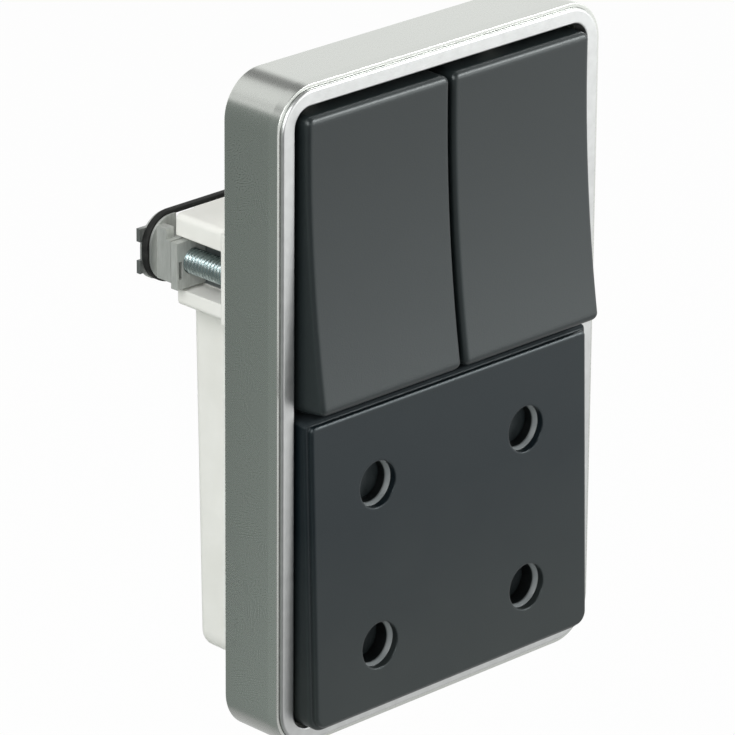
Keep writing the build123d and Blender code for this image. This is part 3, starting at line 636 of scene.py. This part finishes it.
# Frame shell: a satin silver tray, pressed deep, with a slanted strip round its front edge and a step that
# takes the bezel. Its rim lies a little behind the bezel's front.
frame_low, frame_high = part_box("frame_shell")
frame_half_x = frame_high.x / mm
frame_half_z = frame_high.z / mm
frame_depth = -frame_low.y / mm
frame_corner_r = 5.0
frame_wall = 1.4
strip_front = 0.07
strip_side = 1.4
strip_bend_r = 1.2
rim_width = 0.52
rim_drop = 0.14
seat_depth = 1.5
ledge_inset = 2.07
ledge_thickness = 1.2
ledge_corner_r = 2.5


def softened(corners, steps=6, lead=0.03):
    """A closed profile with each corner turned into an arc of its own radius. A corner is (inset, height,
    corner radius of the ring, edge radius), and a point just before and after each arc keeps the flats
    flat."""
    corners = np.array(corners, float)
    place = corners[:, :2]
    before, after = np.roll(place, 1, 0) - place, np.roll(place, -1, 0) - place
    before_length = np.linalg.norm(before, axis=1)[:, None]
    after_length = np.linalg.norm(after, axis=1)[:, None]
    before, after = before / before_length, after / after_length
    half_angle = np.arccos(np.clip((before * after).sum(1), -1, 1))[:, None] / 2
    edge = corners[:, 3:4]
    cut = edge / np.tan(half_angle)
    bisector = before + after
    bisector /= np.linalg.norm(bisector, axis=1)[:, None]
    centre = place + bisector * edge / np.sin(half_angle)
    start, end = place + before * cut - centre, place + after * cut - centre
    share = np.linspace(0, 1, steps)[:, None, None]
    sweep = pi - 2 * half_angle
    arc = (np.sin((1 - share) * sweep) * start + np.sin(share * sweep) * end) / np.sin(sweep)
    arc = centre + arc
    arc = np.concatenate([arc[:1] + before * lead, arc, arc[-1:] + after * lead])
    rows = arc.transpose(1, 0, 2).reshape(-1, 2)
    radius = np.repeat(corners[:, 2], steps + 2)
    shift = rows[:, 0] - np.repeat(corners[:, 0], steps + 2)
    return np.column_stack([rows, radius - shift])


def round_the_frame(profile, steps=20):
    """A profile carried round the frame: each row (inset, height, corner radius) is a rounded rectangle,
    that far inside the frame's outline and that high above the wall."""
    rings = [
        oblong(frame_half_x - inset, frame_half_z - inset, radius, steps)
        for inset, height, radius in profile
    ]
    x, z = np.array(rings).transpose(1, 0, 2)
    y = -profile[:, 1:2] + 0 * x
    return np.stack([x, y, z], -1)


rim_height = frame_depth - rim_drop
seat_height = frame_depth - seat_depth
ledge_rear = seat_height - ledge_thickness
shell_profile = softened(
    [
        (0, 0, frame_corner_r, 0.2),
        (0, frame_depth - strip_side, frame_corner_r, strip_bend_r),
        (strip_front, rim_height, frame_corner_r - strip_front, 0.08),
        (rim_width, rim_height, frame_corner_r - rim_width, 0.06),
        (rim_width, seat_height, frame_corner_r - rim_width, 0.05),
        (ledge_inset, seat_height, ledge_corner_r, 0.1),
        (ledge_inset, ledge_rear, ledge_corner_r, 0.1),
        (frame_wall, ledge_rear, frame_corner_r - frame_wall, 0.15),
        (frame_wall, 0, frame_corner_r - frame_wall, 0.2),
    ]
)
satin_silver, satin_shader, satin_place = finish("satin_silver", Metallic=1.0)
satin_grain = satin_place.noise(0.14)
satin_clouds = satin_place.noise(5.0, detail=3.0)
feed(
    satin_shader,
    Base_Color=satin_grain.between(0.2, 0.8).mix(paint(212, 215, 210), paint(217, 220, 215)),
    Roughness=satin_grain.about(0.265, 0.03) + satin_clouds * 0.02,
)
shell_points = round_the_frame(shell_profile)
shell = skin("frame_shell_pressing", shell_points, satin_silver, tube=True)
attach(shell, "base")
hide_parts("frame_shell")

# Bezel ring: a bright silver ring that lies in the step of the shell and stands a little proud of it, with
# a fine groove left round it. Both its edges are rounded.
groove_width = 0.03
bezel_proud = 0.26
bezel_inner_inset = 2.37
bezel_outer_round = 0.3
bezel_inner_round = 0.2
opening_corner_r = 2.2
bezel_outer_inset = rim_width + groove_width
bezel_outer_r = frame_corner_r - bezel_outer_inset
bezel_front = frame_depth + bezel_proud
bezel_profile = softened(
    [
        (bezel_outer_inset, seat_height, bezel_outer_r, 0.1),
        (bezel_outer_inset, bezel_front, bezel_outer_r, bezel_outer_round),
        (bezel_inner_inset, bezel_front, opening_corner_r, bezel_inner_round),
        (bezel_inner_inset, seat_height, opening_corner_r, 0.1),
    ],
    steps=10,
)
polished_silver, polished_shader, polished_place = finish("polished_silver", Metallic=1.0)
polished_haze = polished_place.noise(1.2, detail=4.0)
feed(
    polished_shader,
    Base_Color=polished_haze.between(0.3, 0.7).mix(paint(208, 210, 209), paint(216, 218, 217)),
    Roughness=polished_haze.about(0.36, 0.08),
    Normal=polished_place.bumped(polished_place.noise(0.15), 0.002, 0.03),
)
bezel_points = round_the_frame(bezel_profile)
bezel = skin("bezel_ring_trim", bezel_points, polished_silver, tube=True)
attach(bezel, "base")
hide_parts("bezel_ring")

# Studio: a pale floor well below the unit, a white surround with a dimmer ceiling, four soft lamps, and on
# the left a glowing grey card that the side of the frame mirrors.
floor_drop = 60.0
floor_half = 4000.0
floor_z = cad_box[0].z / mm - floor_drop
floor_white_share = 0.96
floor_near, floor_near_level = 180.0, 0.62
floor_far, floor_far_level = 800.0, 1.5
floor_left, floor_left_level = (20.0, -100.0), 0.12
card_foot_x = -45.0
card_top_x = -150.0
card_y = (-15.0, 420.0)
card_height = 200.0
card_level = 0.18
card_fade = (60.0, 0.0)
card_behind = (0.94, 1.06, 1.0, 1)
card_beside = (1.9, 2.1, 2.0, 1)
ceiling_from = (0.42, 0.50)
ceiling_left_of = (0.58, 0.45)
ceiling_dimmed = 0.75
surround_fill = 0.42


def sheet_of(name, corners):
    """A flat four-sided stage mesh through these corners, in millimetres."""
    mesh = bpy.data.meshes.new(name)
    mesh.from_pydata((np.array(corners) * mm).tolist(), [], [(0, 1, 2, 3)])
    piece = bpy.data.objects.new(name, mesh)
    bpy.context.scene.collection.objects.link(piece)
    return piece


def seen(tree):
    """Two tones: 1 for the rays straight to the camera, and 1 for all that show a surround as it is, which
    are those and the rays that are mirrored or let through."""
    path = tree.nodes.new("ShaderNodeLightPath").outputs
    camera, glossy, through = (
        Tone(path[ray]) for ray in ("Is Camera Ray", "Is Glossy Ray", "Is Transmission Ray")
    )
    return camera, camera.maths("MAXIMUM", camera, glossy.maths("MAXIMUM", glossy, through))


def grey(level):
    """A colour without hue, this bright."""
    return (level, level, level, 1)


floor = sheet_of(
    "floor",
    [
        (-floor_half, -floor_half, floor_z),
        (floor_half, -floor_half, floor_z),
        (floor_half, floor_half, floor_z),
        (-floor_half, floor_half, floor_z),
    ],
)
floor_finish, floor_shader, floor_place = finish(
    "pale_floor", Roughness=0.8, Base_Color=paint(228, 228, 226)
)
floor_tree = floor_finish.node_tree
floor_camera, floor_seen = seen(floor_tree)
far_off = floor_place.node("VectorMath", {"operation": "LENGTH"}, {0: floor_place}, output="Value")
floor_glow = far_off.reach(floor_near, floor_far).mix(grey(floor_near_level), grey(floor_far_level))
floor_glow = floor_place.axis(0).reach(*floor_left).mix(floor_glow, grey(floor_left_level))
floor_white = floor_camera.mix(floor_glow, grey(1))
white = floor_seen.node("Emission", {}, {"Color": floor_white, "Strength": 1.0})
shares = {0: floor_seen * floor_white_share, 1: Tone(floor_shader.outputs[0]), 2: white}
shown = floor_seen.node("MixShader", {}, shares)
floor_tree.links.new(shown.socket, floor_tree.nodes["Material Output"].inputs["Surface"])
floor.data.materials.append(floor_finish)

card = sheet_of(
    "card",
    [
        (card_foot_x, card_y[0], floor_z),
        (card_foot_x, card_y[1], floor_z),
        (card_top_x, card_y[1], floor_z + card_height),
        (card_top_x, card_y[0], floor_z + card_height),
    ],
)
card_finish, card_shader, card_place = finish(
    "grey_card", Roughness=1.0, Base_Color=grey(0), Emission_Strength=card_level
)
feed(card_shader, Emission_Color=card_place.axis(1).reach(*card_fade).mix(card_behind, card_beside))
card.data.materials.append(card_finish)
card.visible_camera = card.visible_shadow = card.visible_transmission = False

world = bpy.data.worlds.new("studio")
bpy.context.scene.world = world
world.use_nodes = True
world_tree = world.node_tree
backdrop = world_tree.nodes["Background"]
around = Tone(world_tree.nodes.new("ShaderNodeTexCoord").outputs["Generated"])
world_camera, world_seen = seen(world_tree)
ceiling = around.axis(2).between(*ceiling_from) * around.axis(0).between(*ceiling_left_of)
surround = 1 - ceiling * (1 - world_camera) * ceiling_dimmed
level = world_seen * surround + (1 - world_seen) * surround_fill
world_tree.links.new(level.socket, backdrop.inputs["Strength"])
backdrop.inputs["Color"].default_value = grey(1)


def softbox(name, direction, distance, size, radiance):
    """A square lamp in this direction from the unit, turned to face it, that looks this bright."""
    lamp = bpy.data.lights.new(name, "AREA")
    lamp.size = size
    lamp.energy = radiance * pi * size**2
    holder = bpy.data.objects.new(name, lamp)
    towards = Vector(direction).normalized()
    turn = towards.to_track_quat("Z", "Y").to_matrix().to_4x4()
    holder.matrix_world = Matrix.Translation(towards * distance) @ turn
    bpy.context.scene.collection.objects.link(holder)


softbox("softbox_behind", (-0.25, 0.66, 0.71), distance=0.7, size=0.42, radiance=0.66)
softbox("softbox_right", (0.65, -0.6, 0.46), distance=0.8, size=0.25, radiance=14.0)
softbox("softbox_front", (0.66, -0.74, 0.1), distance=0.8, size=0.3, radiance=3.0)
softbox("softbox_left", (-0.8, -0.22, 0.56), distance=0.8, size=0.60, radiance=4.5)

# Camera: on the left and above, a long way off, at the photograph's angle and framing. Its focal length is
# given in pixels of the picture.
image_width = 735.0
focal_pixels = 5864.66
camera_azimuth = radians(-44.408)
camera_elevation = radians(21.84)
camera_roll = radians(0.43)
camera_distance = 648.744
camera_right = -2.088
camera_up = -1.419
back = Vector(
    (
        sin(camera_azimuth) * cos(camera_elevation),
        -cos(camera_azimuth) * cos(camera_elevation),
        sin(camera_elevation),
    )
)
level_right = Vector((cos(camera_azimuth), sin(camera_azimuth), 0))
level_up = back.cross(level_right)
right = level_right * cos(camera_roll) + level_up * sin(camera_roll)
upward = level_up * cos(camera_roll) - level_right * sin(camera_roll)
lens = bpy.data.cameras.new("camera")
lens.sensor_width = 36.0
lens.lens = focal_pixels / image_width * lens.sensor_width
lens.clip_end = 20.0
camera = bpy.data.objects.new("camera", lens)
place = (back * camera_distance + right * camera_right + upward * camera_up) * mm
camera.matrix_world = Matrix.Translation(place) @ Matrix((right, upward, back)).transposed().to_4x4()
bpy.context.scene.collection.objects.link(camera)
bpy.context.scene.camera = camera
bpy.context.scene.view_settings.view_transform = "Standard"
